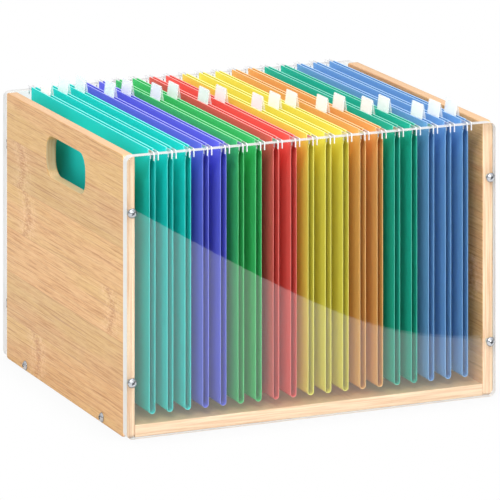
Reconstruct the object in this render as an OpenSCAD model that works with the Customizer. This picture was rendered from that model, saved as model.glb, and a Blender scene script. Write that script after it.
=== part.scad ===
// Desktop file sorter: a bamboo box whose two clear end panels are the rails
// for a row of hanging folders. All sizes are in millimetres. The origin is on
// the floor at the centre of the box, X runs along the front panel, Y runs to
// the back and Z is up.

/* [Box] */
// Width of the box over its two side boards
box_w = 375; // [360:1:420]
// Length of the boards, front to back, between the clear panels
board_l = 301; // [290:1:330]
// Height of the boards and panels, which is the height of the rails
box_h = 258; // [250:1:300]
// Thickness of the side boards
board_t = 10.5; // [10:0.5:15]
// Thickness of the base
base_t = 11; // [10:0.5:16]
// Thickness of the clear panels
panel_t = 10; // [8:0.5:12]
// Radius of the panels' corners
panel_corner = 6; // [2:0.5:10]
// Radius of the side boards' corners
board_corner = 3; // [1:0.5:5]

/* [Hand holes] */
// Length of a hand hole
grip_l = 101; // [90:1:120]
// Height of a hand hole
grip_h = 39; // [34:1:44]
// Corner radius of a hand hole
grip_r = 15; // [8:0.5:16]
// Wood left above a hand hole
grip_drop = 19; // [16:1:30]
// Distance of a hand hole's centre in front of the board's middle
grip_ahead = 6; // [0:1:15]

/* [Folders] */
// Thickness of a closed folder over its two leaves
folder_w = 6; // [5.6:0.1:7]
// Thickness of the card
card_t = 0.4; // [0.3:0.05:0.6]
// Height of the hems that hold the rods
hem_h = 12; // [11:0.5:16]
// Height of a folder's fold above the base
fold_gap = 8; // [6:0.5:14]
// Gap between a folder's ends and the clear panels
end_gap = 1.5; // [1:0.25:4]

/* [Rods] */
// Thickness of a rod, which is a flat steel strip
rod_t = 0.9; // [0.8:0.1:1.3]
// Height of a rod that stands above the rails
rod_above = 2.75; // [2.5:0.25:5]
// Depth that a hook reaches down past the top of its rail
hook_drop = 5.2; // [4:0.2:6]
// Width of a hook's finger
finger_w = 1.3; // [1.2:0.1:4]
// Gap on each side of a rail inside a hook
hook_gap = 0.4; // [0.2:0.1:1]

/* [Tabs] */
// Length of a tab at its foot
tab_l = 25; // [22:1:36]
// Length lost at each end of a tab by its top
tab_taper = 0.5; // [0:0.25:2]
// Height of a tab
tab_h = 14; // [10:0.5:16]
// Spread of a tab's two feet
tab_spread = 4.4; // [4:0.1:5]
// Thickness of the tab's clear sheet
tab_t = 0.4; // [0.3:0.05:0.5]
// Thickness of the paper label inside a tab
label_t = 0.2; // [0.15:0.05:0.25]
// Distance of each colour's tabs behind the middle of the folder, left to right
tab_at = [114, 82, 51, 17, -30, -62, -87, -124];

/* [Screws] */
// Diameter of a screw head
head_d = 9; // [8:0.25:10]
// Height of a screw head's dome
head_h = 3; // [2:0.25:4]
// Diameter of a screw's shank
shank_d = 4; // [3.5:0.1:4.5]
// Depth of a panel screw in the edge of a side board
panel_screw_grip = 24; // [18:1:30]
// Depth of a base screw in the edge of the base
base_screw_grip = 26; // [18:1:32]
// Distance of the base screws from the middle of the base
base_screw_y = 99; // [80:1:120]
// Height of the panel screws, as parts of the box height
panel_screw_at = [0.2, 0.8];

/* [Hidden] */
$fn = 96;
FOLDERS = 19;
// Card colours in order from the left, and the colour of each folder.
CARD = ["#12b8a8", "#5a50d8", "#2f9e50", "#e8433f", "#efd938", "#ee9a48", "#18a982", "#5590d8"];
GROUP = [0, 0, 0, 1, 1, 2, 2, 3, 3, 4, 4, 4, 5, 5, 6, 6, 7, 7, 7];

inner_w = box_w - 2 * board_t;
pitch = inner_w / (FOLDERS + 1);
board_x = box_w / 2 - board_t / 2;
panel_y = board_l / 2 + panel_t / 2;
grip_z = box_h - grip_drop - grip_h / 2;

seat_gap = 0.05;
rod_fit = 0.05;
rod_top = box_h + seat_gap + rod_above;
rod_bottom = box_h - hook_drop;
rod_mid = (rod_top + rod_bottom) / 2;
rod_h = rod_top - rod_bottom;
rod_x = folder_w / 2 - card_t - rod_fit - rod_t / 2;
rod_l = board_l + 2 * (panel_t + hook_gap + finger_w);
rod_corner = 2;

sleeve_l = board_l - 2 * end_gap;
fold_z = base_t + fold_gap;
fold_centre = fold_z + folder_w / 2;
hem_top = rod_top + rod_fit + card_t;
hem_bottom = hem_top - hem_h;
pocket_w = folder_w - 2 * card_t;
mouth_w = 2 * (rod_x - rod_t / 2 - rod_fit - card_t);

tab_seat = hem_top + 0.05;
tab_ridge = 0.6;
label_inset = 0.4;
label_fit = 0.05;

bore_fit = 0.05;
recess_l = 4;
recess_w = 0.9;
recess_depth = 1.6;
point_l = 5;

function two(n) = str(n < 10 ? "0" : "", n);
function sleeve_name(n) = str("folder_", two(n), "_sleeve");
function rods_name(n) = str("folder_", two(n), "_rods");
function folder_x(n) = (n - (FOLDERS + 1) / 2) * pitch;

// A rectangle with round corners, centred on the origin.
module rounded(w, h, r) {
    square([w - 2 * r, h], center = true);
    square([w, h - 2 * r], center = true);
    for (x = [-1, 1], y = [-1, 1])
        translate([x * (w / 2 - r), y * (h / 2 - r)]) circle(r);
}

// Stands a drawing in the X-Z plane and makes it l long, centred on Y.
module along_y(l) {
    rotate([90, 0, 0]) linear_extrude(l, center = true) children();
}

// Stands a drawing in the Y-Z plane and makes it l long, centred on X.
module along_x(l) {
    rotate([90, 0, 90]) linear_extrude(l, center = true) children();
}

// Places a screw made along +Z, head up, at each panel hole: the head faces out.
module at_panel_screws(end) {
    for (side = [-1, 1], part = panel_screw_at)
        translate([side * board_x, end * (board_l / 2 + panel_t), part * box_h])
            rotate([-90 * end, 0, 0]) children();
}

// Places a screw made along +Z, head up, at each base hole of one side.
module at_base_screws(side) {
    for (y = [-1, 1])
        translate([side * box_w / 2, y * base_screw_y, base_t / 2])
            rotate([0, 90 * side, 0]) children();
}

// The hole for a screw's shank, down from the face that its head rests on.
module shank_hole(depth) {
    translate([0, 0, -depth]) cylinder(d = shank_d + 2 * bore_fit, h = depth + 1);
}

// A round-head wood screw that holds depth millimetres below its head.
module screw(depth) {
    ball_r = (pow(head_d / 2, 2) + pow(head_h, 2)) / (2 * head_h);
    difference() {
        rotate_extrude() intersection() {
            translate([0, head_h - ball_r]) circle(ball_r);
            square([head_d / 2 + 1, head_h]);
        }
        for (turn = [0, 90])
            rotate(turn) translate([-recess_l / 2, -recess_w / 2, head_h - recess_depth])
                cube([recess_l, recess_w, recess_depth + 1]);
    }
    translate([0, 0, point_l - depth]) cylinder(d = shank_d, h = depth - point_l);
    translate([0, 0, -depth]) cylinder(d1 = 0.8, d2 = shank_d, h = point_l);
}

module side_panel(side) {
    color("#e3b988") difference() {
        translate([side * board_x, 0, 0]) along_x(board_t)
            translate([0, box_h / 2]) rounded(board_l, box_h, board_corner);
        translate([side * board_x, 0, 0]) along_x(board_t + 2)
            translate([-grip_ahead, grip_z]) rounded(grip_l, grip_h, grip_r);
        for (end = [-1, 1]) at_panel_screws(end) shank_hole(panel_t + panel_screw_grip + 1);
        at_base_screws(side) shank_hole(board_t + 1);
    }
}

module base_panel() {
    color("#ecc796") difference() {
        translate([-inner_w / 2, -board_l / 2, 0]) cube([inner_w, board_l, base_t]);
        for (side = [-1, 1]) at_base_screws(side) shank_hole(board_t + base_screw_grip + 1);
    }
}

module end_panel(end) {
    color([0.95, 0.97, 1, 0.35]) difference() {
        translate([0, end * panel_y, 0]) along_y(panel_t)
            translate([0, box_h / 2]) rounded(box_w, box_h, panel_corner);
        at_panel_screws(end) shank_hole(panel_t + 1);
    }
}

module panel_screws() {
    color("silver")
        for (end = [-1, 1]) at_panel_screws(end) screw(panel_t + panel_screw_grip);
}

module base_screws() {
    color("silver")
        for (side = [-1, 1]) at_base_screws(side) screw(board_t + base_screw_grip);
}

// The card of a folder, seen from its end: two leaves that join in a round fold,
// and a hem on each leaf with a closed channel for its rod.
module sleeve_outline() {
    difference() {
        union() {
            translate([0, fold_centre]) circle(d = folder_w);
            translate([-folder_w / 2, fold_centre]) square([folder_w, hem_top - fold_centre]);
        }
        translate([0, fold_centre]) circle(d = pocket_w);
        translate([-pocket_w / 2, fold_centre]) square([pocket_w, hem_bottom - fold_centre]);
        translate([-mouth_w / 2, hem_bottom - 1]) square([mouth_w, hem_h + 2]);
        for (side = [-1, 1])
            translate([side * rod_x, rod_mid])
                square([rod_t + 2 * rod_fit, rod_h + 2 * rod_fit], center = true);
    }
}

// A tab seen from its end: a clear sheet folded into a tent.
module tab_outline() {
    half = tab_spread / 2;
    top = tab_seat + tab_h;
    difference() {
        polygon([[-half, tab_seat], [half, tab_seat], [tab_ridge, top], [-tab_ridge, top]]);
        polygon([
            [tab_t - half, tab_seat - 1], [half - tab_t, tab_seat - 1],
            [half - tab_t, tab_seat], [tab_ridge - tab_t, top - tab_t],
            [tab_t - tab_ridge, top - tab_t], [tab_t - half, tab_seat]
        ]);
    }
}

// The label seen from its end: a paper strip against the tab's left sheet.
module label_outline() {
    low = tab_t - tab_spread / 2 + label_fit;
    slope = (tab_spread / 2 - tab_ridge) / (tab_h - tab_t);
    rise = tab_h - 2 * label_inset;
    z = tab_seat + label_inset;
    x = low + slope * label_inset;
    polygon([[x, z], [x + label_t, z], [x + label_t + slope * rise, z + rise], [x + slope * rise, z + rise]]);
}

// Cuts a strip of outline to the tab's tapered side view, inset from its ends.
module tab_cut(inset) {
    intersection() {
        along_y(tab_l) children();
        along_x(tab_spread + 1) polygon([
            [inset - tab_l / 2, tab_seat - 1], [tab_l / 2 - inset, tab_seat - 1],
            [tab_l / 2 - tab_taper - inset, tab_seat + tab_h + 1],
            [tab_taper + inset - tab_l / 2, tab_seat + tab_h + 1]
        ]);
    }
}

module folder_sleeve(n) {
    translate([folder_x(n), 0, 0]) {
        color(CARD[GROUP[n - 1]]) along_y(sleeve_l) sleeve_outline();
        translate([0, tab_at[GROUP[n - 1]], 0]) {
            color("whitesmoke") tab_cut(0) tab_outline();
            color("white") tab_cut(label_inset) label_outline();
        }
    }
}

// A rod seen from the side: a strip with a hook over each rail.
module rod_outline() {
    difference() {
        translate([0, rod_mid]) square([rod_l, rod_h], center = true);
        for (end = [-1, 1])
            translate([end * panel_y, rod_bottom])
                square([panel_t + 2 * hook_gap, 2 * (hook_drop + seat_gap)], center = true);
        for (end = [-1, 1])
            translate([end * (rod_l / 2 - rod_corner), rod_top - rod_corner]) difference() {
                translate([end > 0 ? 0 : -rod_corner - 1, 0]) square(rod_corner + 1);
                circle(rod_corner);
            }
    }
}

module folder_rods(n) {
    color("gainsboro")
        for (side = [-1, 1])
            translate([folder_x(n) + side * rod_x, 0, 0]) along_x(rod_t) rod_outline();
}

side_panel(-1);  // left_side_panel
side_panel(1);  // right_side_panel
base_panel();
end_panel(-1);  // front_panel
end_panel(1);  // rear_panel
panel_screws();
base_screws();
for (n = [1:FOLDERS]) {
    folder_sleeve(n);
    folder_rods(n);
}
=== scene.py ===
"""Looks for the desktop file sorter: bamboo boards, clear end panels, screws, hanging folders.

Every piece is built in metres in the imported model's frame: X runs along the front panel,
Y to the back and Z up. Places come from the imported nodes' boxes.
"""

import math
import random

import bmesh
import bpy
from mathutils import Matrix, Vector, noise
from mathutils.geometry import tessellate_polygon


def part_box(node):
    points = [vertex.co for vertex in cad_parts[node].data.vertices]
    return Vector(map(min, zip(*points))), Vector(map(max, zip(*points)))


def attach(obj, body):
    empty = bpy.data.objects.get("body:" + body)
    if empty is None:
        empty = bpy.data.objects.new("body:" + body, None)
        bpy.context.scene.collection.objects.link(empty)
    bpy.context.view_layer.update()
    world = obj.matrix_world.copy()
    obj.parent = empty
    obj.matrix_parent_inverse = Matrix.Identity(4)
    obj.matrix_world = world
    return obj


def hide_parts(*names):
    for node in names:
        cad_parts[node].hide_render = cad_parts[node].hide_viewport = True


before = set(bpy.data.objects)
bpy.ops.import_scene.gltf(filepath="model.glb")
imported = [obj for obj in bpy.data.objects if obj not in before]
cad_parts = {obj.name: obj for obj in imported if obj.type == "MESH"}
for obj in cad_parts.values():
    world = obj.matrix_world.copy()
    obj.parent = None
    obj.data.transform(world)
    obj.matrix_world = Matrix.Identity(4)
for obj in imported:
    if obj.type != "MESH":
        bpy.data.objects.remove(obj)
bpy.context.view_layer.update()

MM = 0.001

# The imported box
front_low, front_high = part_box("front_panel")
rear_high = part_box("rear_panel")[1]
left_low, left_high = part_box("left_side_panel")
base_low, base_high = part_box("base_panel")
BOX_TOP = left_high.z
BOARD_LENGTH = left_high.y - left_low.y
BOARD_X = (left_low.x + left_high.x) / 2

# Boards and clear panels
BOARD_CORNER = 3 * MM
BOARD_EDGE = 1.1 * MM
HAND_HOLE_LENGTH = 101 * MM
HAND_HOLE_HEIGHT = 39 * MM
HAND_HOLE_CORNER = 15 * MM
HAND_HOLE_DROP = 19 * MM
HAND_HOLE_AHEAD = 6 * MM
PANEL_CORNER = 6 * MM
PANEL_EDGE = 0.6 * MM
CORNER_STEPS = 10
EDGE_STEPS = 4
LEAST_RADIUS = 0.01 * MM
BASE_CORNER = 0.6 * MM
BASE_EDGE = 0.5 * MM

# Points closer than this, in metres, count as one
SAME_PLACE = 1e-7
# A face whose normal has at least this much of an axis is square to it
SQUARE_ON = 0.999
# A face of a clear panel whose normal has less than this much of Y is a sawn one
SAWN = 0.5
# A sheet grows no thicker at a sharp bend than this cosine of half the bend allows
LEAST_MITRE = 0.5

# Screws
HEAD_RADIUS = 4.5 * MM
HEAD_HEIGHT = 3 * MM
SHANK_RADIUS = 2 * MM
SCREW_HOLE = 4.1 * MM
PANEL_SCREW_LEVELS = (0.2, 0.8)
PANEL_SCREW_GRIP = 24 * MM
BASE_SCREW_GRIP = 26 * MM
BASE_SCREW_Y = 99 * MM

# Folders
CARD = 0.4 * MM
HEM_DEPTH = 12 * MM
ROD_FIT = 0.05 * MM
ROD_WIDTH = 0.9 * MM
ROD_EDGE = 0.12 * MM
HOOK_GAP = 0.4 * MM
HOOK_DROP = 5.2 * MM
SCORES = (14 * MM, 24 * MM, 34 * MM)
SCORE_HALF = 0.5 * MM
SCORE_DEPTH = 0.14 * MM
# The points of a leaf above its scores, as shares of the way from the fold to the hem
LEAF_LEVELS = (0.85, 0.7, 0.55, 0.4, 0.28)
TAB_SHEET = 0.4 * MM
TAB_RIDGE = 0.6 * MM
TAB_TAPER = 0.5 * MM
TAB_CORNER = 1 * MM
# How far up a tab's sheets have a row of points, and the power that keeps its round corners
# near its ends
TAB_KNEE = 0.4
TAB_CORNER_POWER = 8
# The points along a tab, as shares of half its length
TAB_STATIONS = (-1, -0.97, -0.9, -0.5, 0, 0.5, 0.9, 0.97, 1)
LABEL_SHEET = 0.2 * MM
LABEL_INSET = 0.4 * MM
LABEL_FIT = 0.05 * MM

# Where each screw's cross recess points is drawn with this seed
SCREW_SEED = 11

# How far a card's leaves swell at most, the size of the swells, and how far apart the folders'
# patterns of swells are
SWELL = 0.15 * MM
SWELL_SCALE = 9
SWELL_STEP = 3.1
SLEEVE_STATIONS = 24

# Card colours in order from the left, and how many folders have each
CARDS = (
    ("teal", "#20d6cf", 3),
    ("indigo", "#6d73e2", 2),
    ("green", "#48c874", 2),
    ("red", "#ec665c", 2),
    ("yellow", "#ebdf5c", 3),
    ("orange", "#e9b064", 2),
    ("emerald", "#29ba9f", 2),
    ("blue", "#72a5d8", 3),
)


def linear(value):
    """One part of an sRGB colour, from 0 to 1, as an amount of light."""
    return value / 12.92 if value <= 0.04045 else ((value + 0.055) / 1.055) ** 2.4


def rgb(code):
    """A colour written as #rrggbb, in Blender's linear values."""
    return tuple(linear(int(code[i : i + 2], 16) / 255) for i in (1, 3, 5)) + (1.0,)


def darker(colour, share):
    """A colour with that share of its light."""
    return tuple(c * share for c in colour[:3]) + (1.0,)


def paler(colour, share):
    """A colour taken that share of the way to white."""
    return tuple(c + (1 - c) * share for c in colour[:3]) + (1.0,)


# ---------------------------------------------------------------- materials


class Paint:
    """A material and short ways to add nodes to it."""

    def __init__(self, name):
        self.material = bpy.data.materials.new(name)
        self.material.use_nodes = True
        self.tree = self.material.node_tree
        self.tree.nodes.clear()

    def node(self, kind, inputs=None, **settings):
        made = self.tree.nodes.new("ShaderNode" + kind)
        for key, value in settings.items():
            setattr(made, key, value)
        for key, value in (inputs or {}).items():
            if isinstance(value, bpy.types.NodeSocket):
                self.tree.links.new(value, made.inputs[key])
            else:
                made.inputs[key].default_value = value
        return made

    def math(self, operation, a, b=0.0, c=0.0, clamp=False):
        made = self.node("Math", {0: a, 1: b, 2: c}, operation=operation, use_clamp=clamp)
        return made.outputs[0]

    def mix(self, factor, a, b, blend="MIX"):
        inputs = {0: factor, 6: a, 7: b}
        return self.node("Mix", inputs, data_type="RGBA", blend_type=blend).outputs[2]

    def brighter(self, colour, factor):
        return self.mix(1.0, colour, self.vector(factor, factor, factor), "MULTIPLY")

    def step(self, value, low, high, bottom=0.0, top=1.0):
        """Goes smoothly from bottom to top as value goes from low to high."""
        inputs = {0: value, 1: low, 2: high, 3: bottom, 4: top}
        return self.node("MapRange", inputs, interpolation_type="SMOOTHSTEP").outputs[0]

    def vector(self, x, y, z):
        return self.node("CombineXYZ", {0: x, 1: y, 2: z}).outputs[0]

    def noise(self, vector, scale=1.0, detail=2.0, roughness=0.5):
        inputs = {"Vector": vector, "Scale": scale, "Detail": detail, "Roughness": roughness}
        return self.node("TexNoise", inputs).outputs[0]

    def random(self, value):
        return self.node("TexWhiteNoise", {"W": value}, noise_dimensions="1D").outputs[0]

    def lookup(self, share, values):
        """The value in the list that share, from 0 to 1, falls on."""
        ramp = self.node("ValToRGB", {0: share})
        ramp.color_ramp.interpolation = "CONSTANT"
        stops = ramp.color_ramp.elements
        while len(stops) < len(values):
            stops.new(0.5)
        for index, value in enumerate(values):
            stops[index].position = index / len(values)
            stops[index].color = (value, value, value, 1)
        return self.node("SeparateColor", {0: ramp.outputs[0]}).outputs[0]

    def bump(self, height, distance, strength=1.0):
        inputs = {"Height": height, "Distance": distance, "Strength": strength}
        return self.node("Bump", inputs).outputs[0]

    def point(self):
        """The x, y and z of the point being shaded, in metres."""
        coordinates = self.node("TexCoord").outputs["Object"]
        return tuple(self.node("SeparateXYZ", {0: coordinates}).outputs)

    def normal(self):
        """The x, y and z of the surface's normal."""
        coordinates = self.node("TexCoord").outputs["Normal"]
        return tuple(self.node("SeparateXYZ", {0: coordinates}).outputs)

    def spot(self):
        """The point being shaded as one vector, for a noise that's the same in all directions."""
        return self.vector(*self.point())

    def times(self, value, factor):
        return self.math("MULTIPLY", value, factor)

    def scaled(self, x, y, z, scales):
        """A vector with each part multiplied by its own scale."""
        return self.vector(*(self.times(part, scale) for part, scale in zip((x, y, z), scales)))

    def principled(self, **inputs):
        named = {key.replace("_", " "): value for key, value in inputs.items()}
        return self.node("BsdfPrincipled", named).outputs[0]

    def shader_mix(self, factor, a, b):
        return self.node("MixShader", {0: factor, 1: a, 2: b}).outputs[0]

    def finish(self, surface):
        output = self.node("OutputMaterial", {"Surface": surface})
        self.tree.nodes.active = output
        return self.material


# Laminated bamboo: the strips' width, and how far along the grain two strips' patterns differ
STRIP = 43 * MM
STRIP_SHIFT = 3.7
# The darkest strip's brightness, and how much brighter the palest is
STRIP_TONE = 0.97
STRIP_TONE_RANGE = 0.14
# Where along each board's strips a bamboo node falls, as a share of the board's length.
# Above 1 the strip has none.
SIDE_NODES = (0.29, 1.5, 0.915, 0.2, 0.15, 1.5)
BASE_NODES = (0.2, 0.7, 0.42, 0.88, 0.3, 0.55, 0.12, 0.77, 0.36)
NODE_WIDTH = 12 * MM
# How far a node's line bows by one strip's width from the strip's middle, and how far it wanders
NODE_BOW = 50 * MM
NODE_WANDER = 12 * MM
# The fine arcs beside a node, in radians per metre along the grain
NODE_ARCS = 2600.0
BAMBOO_LIGHT = rgb("#d4b07c")
BAMBOO_WARM = rgb("#c4925a")
BAMBOO_YELLOW = rgb("#c29a5a")
BAMBOO_FIBRE = rgb("#8f5820")
BAMBOO_NODE = rgb("#9c5c1c")
# How much brighter the box's inside faces are painted, in red, green and blue: painted light
BAMBOO_INSIDE_LIGHT = (1.38, 1.28, 1.55, 1.0)
BAMBOO_END = rgb("#f1d1b0")
BAMBOO_END_WARM = rgb("#e4b590")
BAMBOO_HOLE_SHADE = rgb("#7a6a3c")


def bamboo_grain(paint, along, across, through):
    """The strips' grain, and the fine and medium fibres that make its relief."""

    def fibres(along_scale, across_scale, detail, roughness=0.6):
        scales = (along_scale, across_scale, across_scale)
        stretched = paint.scaled(along, across, through, scales)
        return paint.noise(stretched, detail=detail, roughness=roughness)

    broad = fibres(along_scale=3.0, across_scale=30.0, detail=2.0)
    medium = fibres(along_scale=9.0, across_scale=430.0, detail=3.0)
    fine = fibres(along_scale=24.0, across_scale=900.0, detail=3.0, roughness=0.7)
    hair = fibres(along_scale=70.0, across_scale=1900.0, detail=2.0)
    lines = fibres(along_scale=8.0, across_scale=560.0, detail=1.0)
    tone = paint.mix(paint.step(broad, low=0.4, high=0.6), BAMBOO_YELLOW, BAMBOO_WARM)
    pale = paint.step(medium, low=0.36, high=0.66, bottom=0.1, top=0.5)
    tone = paint.mix(pale, tone, BAMBOO_LIGHT)
    patches = paint.step(broad, low=0.3, high=0.6, bottom=0.45, top=1.0)
    streak = paint.math("MULTIPLY", paint.step(fine, low=0.48, high=0.68), patches)
    tone = paint.mix(paint.times(streak, 0.5), tone, BAMBOO_FIBRE)
    tone = paint.mix(paint.step(lines, low=0.6, high=0.68, bottom=0.0, top=0.5), tone, BAMBOO_FIBRE)
    hairs = paint.step(hair, low=0.42, high=0.62, bottom=0.0, top=0.22)
    return paint.mix(hairs, tone, BAMBOO_FIBRE), fine, medium


def bamboo_joint(paint, tone, phase):
    """The joint of two strips, which hardly shows. phase goes from 0 to 1 across a strip."""
    edge = paint.math("MINIMUM", phase, paint.math("SUBTRACT", 1.0, phase))
    joint = paint.step(edge, low=0.014, high=0.004, bottom=0.0, top=0.32)
    return paint.mix(joint, tone, BAMBOO_FIBRE)


def bamboo_node(paint, tone, grain, strip, phase, place):
    """A soft brown band across a strip at its place, with fine arcs across the grain beside it.

    grain is the point along the grain, across it and through the board, and then the point
    along the grain as shifted for this strip.
    """
    u, v, w, shifted = grain
    middle = paint.math("SUBTRACT", phase, 0.5)
    bow = paint.math("MULTIPLY", paint.math("MULTIPLY", middle, middle), NODE_BOW)
    wander = paint.noise(paint.vector(strip, paint.times(v, 90.0), 0.0), detail=2.0)
    away = paint.math("SUBTRACT", paint.math("SUBTRACT", BOARD_LENGTH / 2, u), place)
    away = paint.math("MULTIPLY_ADD", paint.math("SUBTRACT", wander, 0.5), NODE_WANDER, away)
    away = paint.math("ADD", away, bow)
    gap = paint.math("ABSOLUTE", away)
    patch = paint.noise(paint.vector(shifted, v, w), scale=240.0, detail=2.0)
    dash = paint.noise(paint.scaled(u, v, w, (150.0, 700.0, 1.0)), detail=2.0)
    waves = paint.math("SINE", paint.times(away, NODE_ARCS))
    near_node = paint.step(gap, low=2.6 * NODE_WIDTH, high=0.8 * NODE_WIDTH)
    arcs = paint.math("MULTIPLY", waves, near_node)
    arcs = paint.math("MULTIPLY", arcs, paint.step(patch, low=0.4, high=0.6))
    tone = paint.mix(paint.math("MULTIPLY", arcs, 0.6, clamp=True), tone, BAMBOO_END)
    dashes = paint.step(dash, low=0.4, high=0.6, bottom=0.05, top=0.9)
    band = paint.math("MULTIPLY", paint.step(gap, low=NODE_WIDTH, high=0.0), dashes)
    return paint.mix(paint.times(band, 0.7), tone, BAMBOO_NODE)


def bamboo_end(paint, u, v, w):
    """A sawn end: pale, with the layers as thin lines and the cut fibres as fine dots.

    Inside a hand hole it's painted darker, as painted shade.
    """
    dots = paint.noise(paint.vector(u, v, w), scale=1400.0, detail=2.0)
    layers = paint.vector(paint.times(v, 16.0), paint.times(w, 650.0), 0.0)
    layer = paint.noise(layers, detail=3.0)
    end = paint.mix(paint.step(layer, low=0.38, high=0.64), BAMBOO_END, BAMBOO_END_WARM)
    end = paint.mix(paint.step(dots, low=0.55, high=0.7, bottom=0.0, top=0.16), end, BAMBOO_FIBRE)
    off_centre = paint.math("ABSOLUTE", u)
    outer = BOARD_LENGTH * 0.4
    inner = BOARD_LENGTH * 0.3
    # Painted shade: the walls inside the hand hole are painted darker and greener
    hole_shade = paint.step(off_centre, low=outer, high=inner, bottom=0.0, top=0.65)
    return paint.mix(hole_shade, end, BAMBOO_HOLE_SHADE)


def bamboo(name, across, through, start, node_at):
    """Laminated bamboo. Fibres run along Y, and strips lie side by side across them.

    across and through are the axes across the strips and through the board. start is where the
    first strip begins.
    """
    paint = Paint(name)
    point = paint.point()
    normal = paint.normal()
    u = point[1]
    v = point[across]
    w = point[through]
    count = float(len(node_at))
    share = paint.math("DIVIDE", paint.math("SUBTRACT", v, start), STRIP * count)
    strip = paint.math("FLOOR", paint.math("MULTIPLY", share, count))
    phase = paint.math("FRACT", paint.math("MULTIPLY", share, count))
    chance = paint.random(strip)
    shifted = paint.math("MULTIPLY_ADD", chance, STRIP_SHIFT, u)
    tone, fine, medium = bamboo_grain(paint, shifted, v, w)
    lift = paint.math("MULTIPLY_ADD", chance, STRIP_TONE_RANGE, STRIP_TONE)
    tone = paint.brighter(tone, lift)
    tone = bamboo_joint(paint, tone, phase)
    place = paint.times(paint.lookup(share, node_at), BOARD_LENGTH)
    tone = bamboo_node(paint, tone, (u, v, w, shifted), strip, phase, place)
    facing = paint.step(paint.math("ABSOLUTE", normal[1]), low=0.6, high=0.85)
    tone = paint.mix(facing, tone, bamboo_end(paint, u, v, w))
    # Painted light: faces that look up are painted paler, towards the sawn-end colour
    top = paint.step(normal[2], low=0.55, high=0.9, bottom=0.0, top=0.35)
    tone = paint.mix(top, tone, BAMBOO_END)

    # Painted light: the box's inside faces are painted paler, as if more light reached them
    outward = paint.math("MULTIPLY", normal[0], paint.math("SIGN", point[0]))
    inside_face = paint.step(outward, low=-0.5, high=-0.9)
    tone = paint.mix(inside_face, tone, BAMBOO_INSIDE_LIGHT, "MULTIPLY")

    height = paint.math("MULTIPLY_ADD", fine, 0.6, medium)
    surface = paint.principled(
        Base_Color=tone,
        Roughness=paint.step(fine, low=0.3, high=0.7, bottom=0.38, top=0.54),
        Normal=paint.bump(height, distance=0.15 * MM, strength=0.3),
        Specular_IOR_Level=0.35,
        Coat_Weight=0.12,
        Coat_Roughness=0.25,
    )
    return paint.finish(surface)


def card(name, colour):
    """Dyed card: fine fibre, pale where it's cut. The hem's top has painted shade and a painted
    highlight along its crest, and the pocket has painted shade.

    The leaves are painted a little paler towards the hem, as painted light, since it gets the most
    light.
    """
    paint = Paint("card_" + name)
    height = paint.point()[2]
    normal = paint.normal()
    base = rgb(colour)
    fibre = paint.noise(paint.spot(), scale=900.0, detail=3.0, roughness=0.65)
    tone = paint.mix(paint.step(fibre, low=0.35, high=0.65), darker(base, 0.93), base)

    hem_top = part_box("folder_01_rods")[1].z + ROD_FIT
    # Painted shade: the hem's rounded top is painted darker, to temper the light from above
    shoulder = paint.step(height, low=hem_top - 0.4 * MM, high=hem_top + 0.1 * MM)
    tone = paint.mix(shoulder, tone, darker(base, 0.72))
    # Painted highlight: the hem's upward crest is painted paler
    crest = paint.math("MULTIPLY", paint.step(normal[2], low=0.9, high=0.99), shoulder)
    tone = paint.mix(paint.times(crest, 0.6), tone, paler(base, 0.35))

    # Painted shade: the pocket and close gaps, found by occlusion, are painted darker and deeper in
    # colour
    around = paint.node("AmbientOcclusion", {"Distance": 8 * MM}, samples=6, only_local=True)
    pocket = paint.step(around.outputs["AO"], low=0.75, high=0.35, bottom=0.0, top=0.35)
    pocket_shade_colour = darker(tuple(c**1.6 for c in base[:3]), 0.6)
    tone = paint.mix(pocket, tone, pocket_shade_colour)
    sideways = paint.math("ABSOLUTE", normal[1])
    cut_edge = paint.step(sideways, low=0.7, high=0.9, bottom=0.0, top=0.9)
    tone = paint.mix(cut_edge, tone, paler(base, 0.1))
    # Painted light: the leaves are painted paler towards the hem, which gets the most light
    hem_light = paint.step(height, low=hem_top - 45 * MM, high=hem_top - 7 * MM, bottom=0.93, top=1.12)
    tone = paint.brighter(tone, hem_light)
    surface = paint.principled(
        Base_Color=tone,
        Roughness=paint.step(fibre, low=0.3, high=0.7, bottom=0.62, top=0.78),
        Normal=paint.bump(fibre, distance=0.08 * MM, strength=0.3),
        Specular_IOR_Level=0.12,
    )
    return paint.finish(surface)


def steel(name, colour, rough, grain_axis, recess_shade):
    """Bright steel with fine drawing marks along one axis, and painted shade in its recesses."""
    paint = Paint(name)
    across_grain = 2400.0
    along_grain = 60.0
    scales = [across_grain] * 3
    scales[grain_axis] = along_grain
    marks = paint.noise(paint.scaled(*paint.point(), scales), detail=2.0)
    smudge = paint.noise(paint.spot(), scale=180.0, detail=2.0)
    clean = rgb(colour)
    smudged = paint.step(smudge, low=0.35, high=0.7, bottom=0.0, top=0.3)
    tone = paint.mix(smudged, clean, darker(clean, 0.6))
    # Painted shade: recesses and crevices are painted nearly black
    open_to_sky = paint.node("AmbientOcclusion", {"Distance": 2 * MM}, samples=8).outputs["AO"]
    recess_shade_mask = paint.step(open_to_sky, low=0.85, high=0.35, bottom=0.0, top=recess_shade)
    tone = paint.mix(recess_shade_mask, tone, rgb("#26262a"))
    surface = paint.principled(
        Base_Color=tone,
        Metallic=1.0,
        Roughness=paint.step(marks, low=0.3, high=0.7, bottom=rough, top=rough + 0.14),
        Normal=paint.bump(marks, distance=0.02 * MM, strength=0.3),
    )
    return paint.finish(surface)


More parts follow.
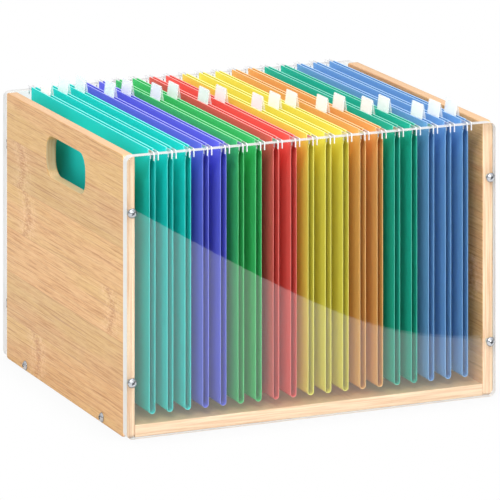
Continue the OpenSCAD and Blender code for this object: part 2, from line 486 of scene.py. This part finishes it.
def clear_sheet(name, tint, rough):
    """Clear plastic: it bends the view, and lets lamps' light through."""
    paint = Paint(name)
    haze = paint.noise(paint.spot(), scale=45.0, detail=3.0)
    roughness = paint.step(haze, low=0.3, high=0.7, bottom=rough, top=rough * 1.6)
    glass = paint.node("BsdfGlass", {"Color": tint, "Roughness": roughness, "IOR": 1.49})
    through = paint.node("BsdfTransparent", {"Color": tint})
    ray = paint.node("LightPath").outputs
    pass_light = paint.math("MAXIMUM", ray["Is Shadow Ray"], ray["Is Diffuse Ray"])
    surface = paint.shader_mix(pass_light, glass.outputs[0], through.outputs[0])
    return paint.finish(surface)


def sawn_acrylic(name):
    """The sawn edge of a clear panel: frosted, and bright with the light it carries."""
    paint = Paint(name)
    marks = paint.noise(paint.scaled(*paint.point(), (500.0, 4000.0, 500.0)), detail=2.0)
    tone = paint.mix(paint.step(marks, low=0.3, high=0.7), rgb("#d6d4d3"), rgb("#e0dedd"))
    surface = paint.principled(
        Base_Color=tone,
        Roughness=paint.step(marks, low=0.3, high=0.7, bottom=0.3, top=0.45),
        Normal=paint.bump(marks, distance=0.03 * MM, strength=0.3),
    )
    glow = paint.node("BsdfTranslucent", {"Color": rgb("#ececec")})
    return paint.finish(paint.shader_mix(0.35, surface, glow.outputs[0]))


def tab_plastic(name):
    """Thin clear vinyl with a faint white sheen, partly painted. It throws no shadow on its label.
    """
    paint = Paint(name)
    ripple = paint.noise(paint.spot(), scale=160.0, detail=2.0)
    gloss = paint.principled(
        Base_Color=rgb("#fafcfc"),
        Roughness=paint.step(ripple, low=0.3, high=0.7, bottom=0.08, top=0.18),
        Normal=paint.bump(ripple, distance=0.1 * MM, strength=0.2),
    )
    clear = paint.node("BsdfTransparent", {"Color": rgb("#fdfefe")})
    # Painted sheen: towards grazing views the sheet turns to white plastic, beside its real gloss
    edge = paint.node("LayerWeight", {"Blend": 0.35}).outputs["Facing"]
    cover = paint.step(edge, low=0.1, high=0.95, bottom=0.16, top=0.8)
    ray = paint.node("LightPath").outputs
    passing = paint.math("MAXIMUM", ray["Is Shadow Ray"], ray["Is Diffuse Ray"])
    cover = paint.math("MULTIPLY", cover, paint.math("SUBTRACT", 1.0, passing))
    return paint.finish(paint.shader_mix(cover, clear.outputs[0], gloss))


def paper(name):
    """White label paper that glows a little, as painted light: it gives back a little more light
    than it takes.
    """
    paint = Paint(name)
    fibre = paint.noise(paint.spot(), scale=1500.0, detail=3.0, roughness=0.6)
    tone = paint.mix(paint.step(fibre, low=0.3, high=0.7), rgb("#f4f3f0"), rgb("#fbfaf8"))
    surface = paint.principled(
        Base_Color=tone,
        Roughness=0.85,
        Normal=paint.bump(fibre, distance=0.04 * MM, strength=0.3),
        Specular_IOR_Level=0.2,
        # Painted light: a faint glow, though the paper is no lamp
        Emission_Color=rgb("#ffffff"),
        Emission_Strength=0.07,
    )
    return paint.finish(surface)


# ---------------------------------------------------------------- mesh tools

# How a drawing's u, v and thickness w become x, y and z
FACING = {
    "x": lambda u, v, w: (w, u, v),
    "y": lambda u, v, w: (u, w, v),
    "z": lambda u, v, w: (u, v, w),
}


def add_piece(name, mesh, body, *materials, smooth, flat_axis=None):
    """Links a mesh as a piece that rides on a body.

    Edges sharper than smooth, in degrees, stay sharp. Faces square to flat_axis stay flat.
    """
    for material in materials:
        mesh.materials.append(material)
    piece = bpy.data.objects.new(name, mesh)
    bpy.context.scene.collection.objects.link(piece)
    mesh.polygons.foreach_set("use_smooth", [True] * len(mesh.polygons))
    mesh.set_sharp_from_angle(angle=math.radians(smooth))
    if flat_axis is None:
        weighted = piece.modifiers.new("weighted normals", "WEIGHTED_NORMAL")
        weighted.keep_sharp = True
    else:
        for face in mesh.polygons:
            face.use_smooth = abs(face.normal[flat_axis]) < SQUARE_ON
    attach(piece, body)
    return piece


def bmesh_to_mesh(name, bm):
    bmesh.ops.recalc_face_normals(bm, faces=bm.faces[:])
    mesh = bpy.data.meshes.new(name)
    bm.to_mesh(mesh)
    bm.free()
    return mesh


def rounded_loop(centre, size, radius, inset):
    """Points round a rectangle with round corners, moved inwards by inset."""
    half_u = size[0] / 2 - inset
    half_v = size[1] / 2 - inset
    r = max(radius - inset, LEAST_RADIUS)
    points = []
    for quarter, (su, sv) in enumerate(((1, 1), (-1, 1), (-1, -1), (1, -1))):
        for i in range(CORNER_STEPS + 1):
            angle = math.pi / 2 * (quarter + i / CORNER_STEPS)
            u = centre[0] + su * (half_u - r) + r * math.cos(angle)
            v = centre[1] + sv * (half_v - r) + r * math.sin(angle)
            points.append(Vector((u, v)))
    return [here for i, here in enumerate(points) if (here - points[i - 1]).length > SAME_PLACE]


def plate(name, facing, middle, thickness, edge, outline, holes=()):
    """A flat board with eased edges. Outline and holes are (centre, size, corner radius)."""
    place = FACING[facing]
    bm = bmesh.new()
    profile = []
    for i in range(EDGE_STEPS + 1):
        angle = math.pi / 2 * i / EDGE_STEPS
        profile.append((edge * (1 - math.sin(angle)), edge * (1 - math.cos(angle))))
    rings = [(inset, depth - thickness / 2) for inset, depth in profile]
    rings += [(inset, thickness / 2 - depth) for inset, depth in reversed(profile)]
    rims = {"low": [], "high": []}
    for index, (centre, size, radius) in enumerate([outline, *holes]):
        sign = 1 if index == 0 else -1
        made = []
        for inset, level in rings:
            points = rounded_loop(centre, size, radius, sign * inset)
            made.append([bm.verts.new(place(u, v, middle + level)) for u, v in points])
        for low, high in zip(made, made[1:]):
            for i in range(len(low)):
                j = (i + 1) % len(low)
                bm.faces.new((low[i], low[j], high[j], high[i]))
        rims["low"].append(made[0])
        rims["high"].append(made[-1])
    for loops in rims.values():
        verts = [vert for loop in loops for vert in loop]
        for triangle in tessellate_polygon([[vert.co for vert in loop] for loop in loops]):
            bm.faces.new([verts[i] for i in triangle])
    return bmesh_to_mesh(name, bm)


def ribbon(name, path, sheet, stations, bend):
    """A sheet of even thickness that follows path, points of (x, z), across the stations in y.

    bend(x, y, z) gives where each point goes.
    """
    sides = []
    for i, here in enumerate(path):
        before = path[max(i - 1, 0)]
        after = path[min(i + 1, len(path) - 1)]
        a = (here - before) if i else (after - here)
        b = (after - here) if i < len(path) - 1 else (here - before)
        a = a.normalized()
        b = b.normalized()
        normal = Vector((-(a.y + b.y), a.x + b.x)).normalized()
        reach = sheet / 2 / max(normal.dot(Vector((-a.y, a.x))), LEAST_MITRE)
        sides.append((here + normal * reach, here - normal * reach))
    bm = bmesh.new()
    rows = []
    for y in stations:
        row = []
        for one, other in sides:
            left = bm.verts.new(bend(one.x, y, one.y))
            right = bm.verts.new(bend(other.x, y, other.y))
            row.append((left, right))
        rows.append(row)
    last = len(path) - 1
    for row, following in zip(rows, rows[1:]):
        for i in range(last):
            j = i + 1
            for side in (0, 1):
                bm.faces.new((row[i][side], row[j][side], following[j][side], following[i][side]))
        for i in (0, last):
            bm.faces.new((row[i][0], row[i][1], following[i][1], following[i][0]))
    for row in (rows[0], rows[-1]):
        for i in range(last):
            bm.faces.new((row[i][0], row[i + 1][0], row[i + 1][1], row[i][1]))
    return bmesh_to_mesh(name, bm)


def arc(centre, radius, start, end, steps):
    """Points on an arc, with angles in degrees."""
    points = []
    for i in range(steps + 1):
        angle = math.radians(start + (end - start) * i / steps)
        u = centre[0] + radius * math.cos(angle)
        v = centre[1] + radius * math.sin(angle)
        points.append(Vector((u, v)))
    return points


def lathe(bm, profile, steps=48):
    """Turns (radius, height) points about Z. The first and last lie on the axis."""
    rows = []
    for radius, height in profile[1:-1]:
        row = []
        for i in range(steps):
            angle = 2 * math.pi * i / steps
            row.append(bm.verts.new((radius * math.cos(angle), radius * math.sin(angle), height)))
        rows.append(row)
    first = bm.verts.new((0, 0, profile[0][1]))
    last = bm.verts.new((0, 0, profile[-1][1]))
    for i in range(steps):
        j = (i + 1) % steps
        bm.faces.new((first, rows[0][j], rows[0][i]))
        bm.faces.new((last, rows[-1][i], rows[-1][j]))
        for low, high in zip(rows, rows[1:]):
            bm.faces.new((low[i], low[j], high[j], high[i]))


# ---------------------------------------------------------------- the box

bamboo_side = bamboo("bamboo_side", across=2, through=0, start=0.0, node_at=SIDE_NODES)
bamboo_base = bamboo("bamboo_base", across=0, through=2, start=base_low.x, node_at=BASE_NODES)
acrylic = clear_sheet("clear_panel", rgb("#fbfdfd"), rough=0.0)
acrylic_edge = sawn_acrylic("clear_panel_edge")
screw_steel = steel("screw_steel", "#b4b6ba", rough=0.2, grain_axis=2, recess_shade=0.85)
rod_steel = steel("rod_steel", "#f8f8fa", rough=0.3, grain_axis=1, recess_shade=0.0)
tab_clear = tab_plastic("tab_clear")
label_paper = paper("label_paper")


def make_boards():
    """The two side boards with their hand holes, and the base board."""
    for name in ("left", "right"):
        node = name + "_side_panel"
        low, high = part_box(node)
        middle = (low + high) / 2
        hole_centre = (-HAND_HOLE_AHEAD, high.z - HAND_HOLE_DROP - HAND_HOLE_HEIGHT / 2)
        mesh = plate(
            name + "_board",
            "x",
            middle.x,
            high.x - low.x,
            BOARD_EDGE,
            ((middle.y, middle.z), (high.y - low.y, high.z - low.z), BOARD_CORNER),
            [(hole_centre, (HAND_HOLE_LENGTH, HAND_HOLE_HEIGHT), HAND_HOLE_CORNER)],
        )
        piece = add_piece(name + "_board", mesh, "box", bamboo_side, smooth=35, flat_axis=0)
        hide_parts(node)
    low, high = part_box("base_panel")
    middle = (low + high) / 2
    size = (high.x - low.x, high.y - low.y)
    outline = ((middle.x, middle.y), size, BASE_CORNER)
    mesh = plate("base_board", "z", middle.z, high.z - low.z, BASE_EDGE, outline)
    piece = add_piece("base_board", mesh, "box", bamboo_base, smooth=35, flat_axis=2)
    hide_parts("base_panel")


def make_clear_panels():
    """The two clear panels, with screw holes and frosted edges."""
    for name in ("front", "rear"):
        node = name + "_panel"
        low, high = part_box(node)
        middle = (low + high) / 2
        holes = []
        for x in (BOARD_X, -BOARD_X):
            for level in PANEL_SCREW_LEVELS:
                holes.append(((x, level * high.z), (SCREW_HOLE, SCREW_HOLE), SCREW_HOLE / 2))
        outline = ((middle.x, middle.z), (high.x - low.x, high.z - low.z), PANEL_CORNER)
        mesh = plate(
            name + "_clear_panel", "y", middle.y, high.y - low.y, PANEL_EDGE, outline, holes
        )
        for face in mesh.polygons:
            if abs(face.normal.y) < SAWN:
                face.material_index = 1
        piece = add_piece(
            name + "_clear_panel", mesh, "box", acrylic, acrylic_edge, smooth=35, flat_axis=1
        )
        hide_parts(node)


def screw_mesh(name, reach):
    """A round-head wood screw along Z, head up, with a cross recess and a threaded end."""
    bm = bmesh.new()
    ball = (HEAD_RADIUS**2 + HEAD_HEIGHT**2) / (2 * HEAD_HEIGHT)
    profile = [(0, HEAD_HEIGHT)]
    head_steps = 12
    for i in range(1, head_steps + 1):
        angle = math.asin(HEAD_RADIUS / ball) * i / (head_steps + 0.6)
        profile.append((ball * math.sin(angle), HEAD_HEIGHT - ball + ball * math.cos(angle)))
    rim = 0.12 * MM
    profile += [(HEAD_RADIUS, 0.35 * MM), (HEAD_RADIUS, rim), (HEAD_RADIUS - rim, 0)]
    thread_top = -reach * 0.45
    thread_bottom = -reach + 5 * MM
    profile += [(SHANK_RADIUS, 0), (SHANK_RADIUS, thread_top)]
    turns = 7
    root = SHANK_RADIUS * 0.74
    crest = SHANK_RADIUS * 0.99
    for i in range(turns):
        top = thread_top + (thread_bottom - thread_top) * i / turns
        bottom = thread_top + (thread_bottom - thread_top) * (i + 1) / turns
        middle = (top + bottom) / 2
        profile += [(root, top - 0.3 * MM), (root, middle), (crest, bottom)]
    profile += [(0.3 * MM, -reach + 0.2 * MM), (0, -reach)]
    lathe(bm, profile)
    return bmesh_to_mesh(name, bm)


def recess_mesh(name):
    """The cross recess as a solid: four tapered wings about Z."""
    bm = bmesh.new()
    # Height, length of a wing and half its width, at the recess's floor and above the head
    floor = (HEAD_HEIGHT - 1.7 * MM, 0.75 * MM, 0.4 * MM)
    above = (HEAD_HEIGHT + 0.6 * MM, 2.75 * MM, 0.62 * MM)
    rows = []
    for z, reach, half in (floor, above):
        row = []
        for quarter in range(4):
            turn = Matrix.Rotation(math.pi / 2 * quarter, 3, "Z")
            for x, y in ((reach, -half), (reach, half), (half, half)):
                row.append(bm.verts.new(turn @ Vector((x, y, z))))
        rows.append(row)
    count = len(rows[0])
    for i in range(count):
        j = (i + 1) % count
        bm.faces.new((rows[0][i], rows[0][j], rows[1][j], rows[1][i]))
    bm.faces.new(rows[0][::-1])
    bm.faces.new(rows[1])
    return bmesh_to_mesh(name, bm)


def cut(mesh, cutter_mesh):
    """The first mesh with the second cut out of it."""
    body = bpy.data.objects.new("cut_body", mesh)
    cutter = bpy.data.objects.new("cutter", cutter_mesh)
    for piece in (body, cutter):
        bpy.context.scene.collection.objects.link(piece)
    modifier = body.modifiers.new("cut", "BOOLEAN")
    modifier.operation = "DIFFERENCE"
    modifier.solver = "EXACT"
    modifier.object = cutter
    graph = bpy.context.evaluated_depsgraph_get()
    result = bpy.data.meshes.new_from_object(body.evaluated_get(graph))
    for piece in (body, cutter):
        bpy.data.objects.remove(piece)
    return result


def make_screws():
    """All the screws, each turned to a place of its own."""
    recess = recess_mesh("recess")
    draw = random.Random(SCREW_SEED)
    kinds = {}
    panel_depth = front_high.y - front_low.y
    board_depth = left_high.x - left_low.x
    for kind, reach in (
        ("panel", panel_depth + PANEL_SCREW_GRIP),
        ("base", board_depth + BASE_SCREW_GRIP),
    ):
        kinds[kind] = cut(screw_mesh(kind + "_screw", reach), recess)
    seats = []
    for end, y in ((-1, front_low.y), (1, rear_high.y)):
        for x in (BOARD_X, -BOARD_X):
            for level in PANEL_SCREW_LEVELS:
                seats.append(("panel", Vector((x, y, level * BOX_TOP)), Vector((0, end, 0))))
    for side in (-1, 1):
        for y in (-BASE_SCREW_Y, BASE_SCREW_Y):
            at = Vector((side * -left_low.x, y, base_high.z / 2))
            seats.append(("base", at, Vector((side, 0, 0))))
    for index, (kind, at, out) in enumerate(seats, 1):
        mesh = kinds[kind].copy()
        turn = out.to_track_quat("Z", "Y").to_matrix().to_4x4()
        spin = Matrix.Rotation(math.radians(draw.uniform(0, 90)), 4, "Z")
        mesh.transform(Matrix.Translation(at) @ turn @ spin)
        piece = add_piece(f"{kind}_screw_{index:02d}", mesh, "box", screw_steel, smooth=40)
        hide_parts(kind + "_screws")


# ---------------------------------------------------------------- the folders


def sleeve_path(half, fold_z, rod_low, rod_high, rod_x):
    """The card's middle line from hem to hem, as points of (x, z)."""
    leaf_x = half - CARD / 2
    inner_x = rod_x - ROD_WIDTH / 2 - ROD_FIT - CARD / 2
    crown = rod_high + ROD_FIT + CARD / 2
    corner = 0.3 * MM
    foot = crown + CARD / 2 - HEM_DEPTH
    flap_x = leaf_x - CARD - 0.02 * MM
    right = [Vector((flap_x, foot)), Vector((flap_x, foot + 1.2 * MM))]
    right += [Vector((inner_x, rod_low + 0.1 * MM)), Vector((inner_x, (rod_low + rod_high) / 2))]
    right += arc((inner_x + corner, crown - corner), corner, start=180, end=90, steps=4)
    right += arc((leaf_x - corner, crown - corner), corner, start=90, end=0, steps=4)
    right += [Vector((leaf_x, rod_low)), Vector((leaf_x, foot))]
    fold_centre = fold_z + half
    marks = []
    for share in LEAF_LEVELS:
        marks.append(Vector((leaf_x, fold_centre + share * (foot - fold_centre))))
    for score in reversed(SCORES):
        z = fold_centre + score
        marks += [Vector((leaf_x, z + SCORE_HALF)), Vector((leaf_x - SCORE_DEPTH, z))]
        marks += [Vector((leaf_x, z - SCORE_HALF))]
    right += marks
    fold = arc((0, fold_centre), leaf_x, start=0, end=-180, steps=14)
    left = [Vector((-point.x, point.y)) for point in reversed(right)]
    return right + fold + left


def make_sleeve(number, node, body, material):
    """A folder's card: two leaves with a fold below and a hem round each rod."""
    low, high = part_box(node)
    rods_low, rods_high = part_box(node.replace("sleeve", "rods"))
    x = (rods_low.x + rods_high.x) / 2
    rod_x = (rods_high.x - rods_low.x) / 2 - ROD_WIDTH / 2
    half = (high.x - low.x) / 2
    path = sleeve_path(half, low.z, rods_low.z, rods_high.z, rod_x)
    count = SLEEVE_STATIONS
    stations = [low.y + (high.y - low.y) * i / count for i in range(count + 1)]
    hem = rods_high.z - HEM_DEPTH
    wave = Vector((number * SWELL_STEP, 0, 0))

    def bend(px, y, z):
        belly = math.sin(math.pi * min(max((z - low.z) / (hem - low.z), 0), 1))
        swell = noise.noise(wave + Vector((0, y * SWELL_SCALE, z * SWELL_SCALE)))
        return (x + px + SWELL * swell * belly, y, z)

    mesh = ribbon(f"folder_{number:02d}_card", path, CARD, stations, bend)
    piece = add_piece(f"folder_{number:02d}_card", mesh, body, material, smooth=50)
    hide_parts(node)


def tab_box(node):
    """The low and high corners of the tab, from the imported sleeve's points above its hem."""
    rods_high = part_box(node.replace("sleeve", "rods"))[1]
    above = rods_high.z + ROD_FIT + CARD + 0.01 * MM
    points = [v.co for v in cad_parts[node].data.vertices if v.co.z > above]
    return Vector(map(min, *points)), Vector(map(max, *points))


def tab_path(half, bottom, top):
    """The tent's middle line from its left foot over the ridge to its right foot."""
    foot = half - TAB_SHEET / 2
    ridge = TAB_RIDGE - TAB_SHEET / 2
    crown = top - TAB_SHEET / 2
    knee = (-foot * (1 - TAB_KNEE) - ridge * TAB_KNEE, bottom + (top - bottom) * TAB_KNEE)
    path = [Vector((-foot, bottom)), Vector(knee)]
    path += [Vector((-ridge - 0.05 * MM, crown - 0.35 * MM)), Vector((-ridge * 0.4, crown))]
    return path + [Vector((-point.x, point.y)) for point in reversed(path)]


def label_path(half, low_z, high_z):
    """The label's middle line, from its lower edge up along the tent's left sheet."""
    start = -half + TAB_SHEET + LABEL_FIT + LABEL_SHEET / 2
    lean = (half - TAB_RIDGE) / (high_z - low_z - TAB_SHEET)
    bottom = low_z + LABEL_INSET
    top = high_z - LABEL_INSET - TAB_SHEET
    steps = 4
    path = []
    for i in range(steps + 1):
        z = bottom + (top - bottom) * i / steps
        path.append(Vector((start + lean * (z - low_z), z)))
    return path


def tab_bend(low, high, inset):
    """Makes a bend whose stations are shares of half the tab's length, with round corners."""
    x = (low.x + high.x) / 2
    y_mid = (low.y + high.y) / 2
    half_length = (high.y - low.y) / 2
    tall = high.z - low.z

    def bend(px, share, z):
        reach = half_length - inset - TAB_TAPER * (z - low.z) / tall
        near_top = max(0.0, z - (high.z - inset - TAB_CORNER)) / TAB_CORNER
        cut_back = TAB_CORNER * (1 - math.sqrt(max(0.0, 1 - min(near_top, 1) ** 2)))
        reach -= cut_back * abs(share) ** TAB_CORNER_POWER
        return (x + px, y_mid + share * reach, z)

    return bend


def make_tab(number, node, body):
    """The clear tent on the hem, and the paper label inside its left sheet."""
    low, high = tab_box(node)
    half = (high.x - low.x) / 2
    for part, path, sheet, inset, material in (
        ("tab", tab_path(half, low.z, high.z), TAB_SHEET, 0, tab_clear),
        ("label", label_path(half, low.z, high.z), LABEL_SHEET, LABEL_INSET, label_paper),
    ):
        name = f"folder_{number:02d}_{part}"
        mesh = ribbon(name, path, sheet, TAB_STATIONS, tab_bend(low, high, inset))
        piece = add_piece(name, mesh, body, material, smooth=40)
        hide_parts(node)


def rod_outline(low, high):
    """The rod from the side, as (y, z) points: a strip with a notch over each rail."""
    rail_front = front_low.y - HOOK_GAP
    rail_back = front_high.y + HOOK_GAP
    roof = low.z + HOOK_DROP + 0.05 * MM
    corner = 2 * MM
    ease = 0.4 * MM
    front = arc((low.y + corner, high.z - corner), corner, start=90, end=180, steps=5)
    front += arc((low.y + ease, low.z + ease), ease, start=180, end=270, steps=3)
    front += arc((rail_front - ease, low.z + ease), ease, start=270, end=360, steps=3)
    front += [Vector((rail_front, roof)), Vector((rail_back, roof))]
    front += arc((rail_back + ease, low.z + ease), ease, start=180, end=270, steps=3)
    return front + [Vector((-point.x, point.y)) for point in reversed(front)]


def make_rods(number, node, body):
    """A folder's two flat steel rods."""
    low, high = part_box(node)
    outline = rod_outline(low, high)
    for side, x in (("left", low.x), ("right", high.x - ROD_WIDTH)):
        name = f"folder_{number:02d}_rod_{side}"
        bm = bmesh.new()
        face = bm.faces.new([bm.verts.new((x, p.x, p.y)) for p in outline])
        grown = bmesh.ops.extrude_face_region(bm, geom=[face])["geom"]
        moved = [v for v in grown if isinstance(v, bmesh.types.BMVert)]
        bmesh.ops.translate(bm, verts=moved, vec=(ROD_WIDTH, 0, 0))
        rims = [e for e in bm.edges if abs(e.verts[0].co.x - e.verts[1].co.x) < SAME_PLACE]
        bmesh.ops.bevel(
            bm, geom=rims, offset=ROD_EDGE, segments=2, affect="EDGES", profile=0.5
        )
        mesh = bmesh_to_mesh(name, bm)
        piece = add_piece(name, mesh, body, rod_steel, smooth=30)
        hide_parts(node)


def make_folders():
    """Every folder, from the left."""
    number = 0
    for name, colour, count in CARDS:
        material = card(name, colour)
        for _ in range(count):
            number += 1
            body = f"folder_{number:02d}"
            make_sleeve(number, body + "_sleeve", body, material)
            make_tab(number, body + "_sleeve", body)
            make_rods(number, body + "_rods", body)


# ---------------------------------------------------------------- the studio

FLOOR_HALF = 30.0
FLOOR_LEVEL = -0.2 * MM

# The camera's place, its turn in degrees, its lens in mm, and the shift of its picture
CAMERA_AT = Vector((-1.8221, -4.1927, 1.2193))
CAMERA_TURN = 23.5445
CAMERA_LENS = 343.53
CAMERA_SHIFT = -2.2943
# The camera counts as moved when it's further than this from its place
CAMERA_HOME = 0.01


def make_camera():
    """A level camera whose lens is shifted down, so that upright edges stay upright.

    The shift belongs to this one place: a driver drops it when the camera is moved.
    """
    data = bpy.data.cameras.new("camera")
    data.lens = CAMERA_LENS
    data.clip_end = 100
    camera = bpy.data.objects.new("camera", data)
    camera.location = CAMERA_AT
    camera.rotation_euler = (math.radians(90), 0, math.radians(-CAMERA_TURN))
    home = bpy.data.objects.new("camera_home", None)
    home.location = CAMERA_AT
    for thing in (camera, home):
        bpy.context.scene.collection.objects.link(thing)
    driver = data.driver_add("shift_y").driver
    driver.type = "SCRIPTED"
    away = driver.variables.new()
    away.name = "away"
    away.type = "LOC_DIFF"
    away.targets[0].id = camera
    away.targets[1].id = home
    driver.expression = f"{CAMERA_SHIFT} if away < {CAMERA_HOME} else 0.0"
    bpy.context.scene.camera = camera


def stage_sheet(name, outline, level, material):
    """A flat sheet of the studio, from (x, y) points at one height."""
    bm = bmesh.new()
    bm.faces.new([bm.verts.new((x, y, level)) for x, y in outline])
    sheet = bpy.data.objects.new(name, bmesh_to_mesh(name, bm))
    bpy.context.scene.collection.objects.link(sheet)
    sheet.data.materials.append(material)
    return sheet


def floor_paint():
    """White, with a faint shade where something stands. Mirror-like surfaces see it dark."""
    paint = Paint("floor")
    ray = paint.node("LightPath").outputs
    contact = paint.node("AmbientOcclusion", {"Distance": 50 * MM}, samples=8).outputs["AO"]
    shade = paint.step(contact, low=0.3, high=1.0, bottom=0.95, top=1.0)
    shown = paint.node("Emission", {"Color": rgb("#ffffff"), "Strength": shade})
    matte = paint.node("BsdfDiffuse", {"Color": rgb("#f0f0f0")})
    dark = paint.node("Emission", {"Color": rgb("#ffffff"), "Strength": 0.0})
    seen = paint.math("MAXIMUM", ray["Is Camera Ray"], ray["Is Transmission Ray"])
    surface = paint.shader_mix(seen, matte.outputs[0], shown.outputs[0])
    mirrored = paint.math("MINIMUM", ray["Is Singular Ray"], ray["Glossy Depth"], clamp=True)
    return paint.finish(paint.shader_mix(mirrored, surface, dark.outputs[0]))


def make_floor():
    """A wide floor, which the clear panels see dark, so that they stay clear."""
    half = FLOOR_HALF
    corners = ((-half, -half), (half, -half), (half, half), (-half, half))
    stage_sheet("floor", corners, FLOOR_LEVEL, floor_paint())


# The reflected sheet: its height, brightness, near, far and left edges
SHEET_LEVEL = 1 * MM
SHEET_LIGHT = 1.5
SHEET_NEAR = front_low.y - 0.1 * MM
SHEET_FAR = -1.6
SHEET_LEFT = -1.2
# Its right edge is a hyperbola that leans on these two lines, in metres
CURVE_X = 0.151
CURVE_Y = -0.300
CURVE_BEND = 0.0055
CURVE_STOP = 12 * MM
CURVE_STEPS = 60


def sheet_paint():
    """White light to mirror-like surfaces, and nothing to anything else."""
    paint = Paint("reflected_card")
    glow = paint.node("Emission", {"Color": rgb("#ffffff"), "Strength": SHEET_LIGHT})
    unseen = paint.node("BsdfTransparent")
    depth = paint.node("LightPath").outputs["Glossy Depth"]
    mirrored = paint.math("GREATER_THAN", depth, 0.5)
    return paint.finish(paint.shader_mix(mirrored, unseen.outputs[0], glow.outputs[0]))


def make_reflected_card():
    """A white sheet on the floor before the box, seen only as a reflection in the clear panel.

    Its right edge is a long curve, which shows in the panel as the edge of the reflection.
    """
    edge = []
    for i in range(CURVE_STEPS + 1):
        y = SHEET_FAR + (CURVE_Y - CURVE_STOP - SHEET_FAR) * i / CURVE_STEPS
        edge.append((CURVE_X + CURVE_BEND / (CURVE_Y - y), y))
    outline = [(SHEET_LEFT, SHEET_NEAR), (SHEET_LEFT, SHEET_FAR), *edge]
    outline.append((edge[-1][0], SHEET_NEAR))
    sheet = stage_sheet("reflected_card", outline, SHEET_LEVEL, sheet_paint())
    sheet.visible_camera = False
    sheet.visible_diffuse = False
    sheet.visible_shadow = False


def area_light(name, at, toward, size, watts):
    """A soft lamp at a place, turned toward a point."""
    data = bpy.data.lights.new(name, "AREA")
    data.shape = "RECTANGLE"
    data.size = size[0]
    data.size_y = size[1]
    data.energy = watts
    lamp = bpy.data.objects.new(name, data)
    lamp.location = at
    lamp.rotation_mode = "QUATERNION"
    lamp.rotation_quaternion = (Vector(toward) - Vector(at)).to_track_quat("-Z", "Y")
    lamp.visible_camera = False
    bpy.context.scene.collection.objects.link(lamp)


SKY_SEEN = 1.0
SKY_LIGHT = 0.86
# What shiny pieces mirror near the horizon and overhead
SKY_LOW = 0.35
SKY_HIGH = 1.1


def make_sky():
    """White all round. Shiny pieces mirror it darker near the horizon, so that they show."""
    world = bpy.data.worlds.new("studio")
    bpy.context.scene.world = world
    world.use_nodes = True
    tree = world.node_tree
    background = tree.nodes["Background"]
    background.inputs["Color"].default_value = (1, 1, 1, 1)
    ray = tree.nodes.new("ShaderNodeLightPath").outputs
    direction = tree.nodes.new("ShaderNodeTexCoord").outputs["Generated"]
    split = tree.nodes.new("ShaderNodeSeparateXYZ")
    tree.links.new(direction, split.inputs[0])

    def ranged(value, low, high, bottom, top):
        made = tree.nodes.new("ShaderNodeMapRange")
        for index, setting in enumerate((value, low, high, bottom, top)):
            if isinstance(setting, bpy.types.NodeSocket):
                tree.links.new(setting, made.inputs[index])
            else:
                made.inputs[index].default_value = setting
        return made.outputs[0]

    plain = ranged(ray["Is Diffuse Ray"], low=0.0, high=1.0, bottom=SKY_SEEN, top=SKY_LIGHT)
    mirrored = ranged(split.outputs[2], low=0.1, high=0.6, bottom=SKY_LOW, top=SKY_HIGH)
    reflecting = tree.nodes.new("ShaderNodeMath")
    reflecting.operation = "SUBTRACT"
    reflecting.use_clamp = True
    tree.links.new(ray["Is Glossy Ray"], reflecting.inputs[0])
    tree.links.new(ray["Is Transmission Ray"], reflecting.inputs[1])
    strength = ranged(reflecting.outputs[0], low=0.0, high=1.0, bottom=plain, top=mirrored)
    tree.links.new(strength, background.inputs["Strength"])


def make_lamps():
    """Three soft lamps: from the left, from the front and from above."""
    area_light("key", at=(-1.65, -2.5, 2.8), toward=(0, 0, 0.15), size=(1.6, 1.6), watts=90)
    area_light("front", at=(-0.2, -3.5, 1.2), toward=(0, 0, 0.13), size=(1.4, 1.4), watts=36)
    area_light("top", at=(0.3, 0.4, 2.6), toward=(0, 0, 0.2), size=(2.4, 2.4), watts=28)


make_boards()
make_clear_panels()
make_screws()
make_folders()
make_floor()
make_reflected_card()
make_sky()
make_lamps()
make_camera()

scene = bpy.context.scene
scene.view_settings.view_transform = "Standard"
scene.cycles.transparent_max_bounces = 32
scene.cycles.diffuse_bounces = 8
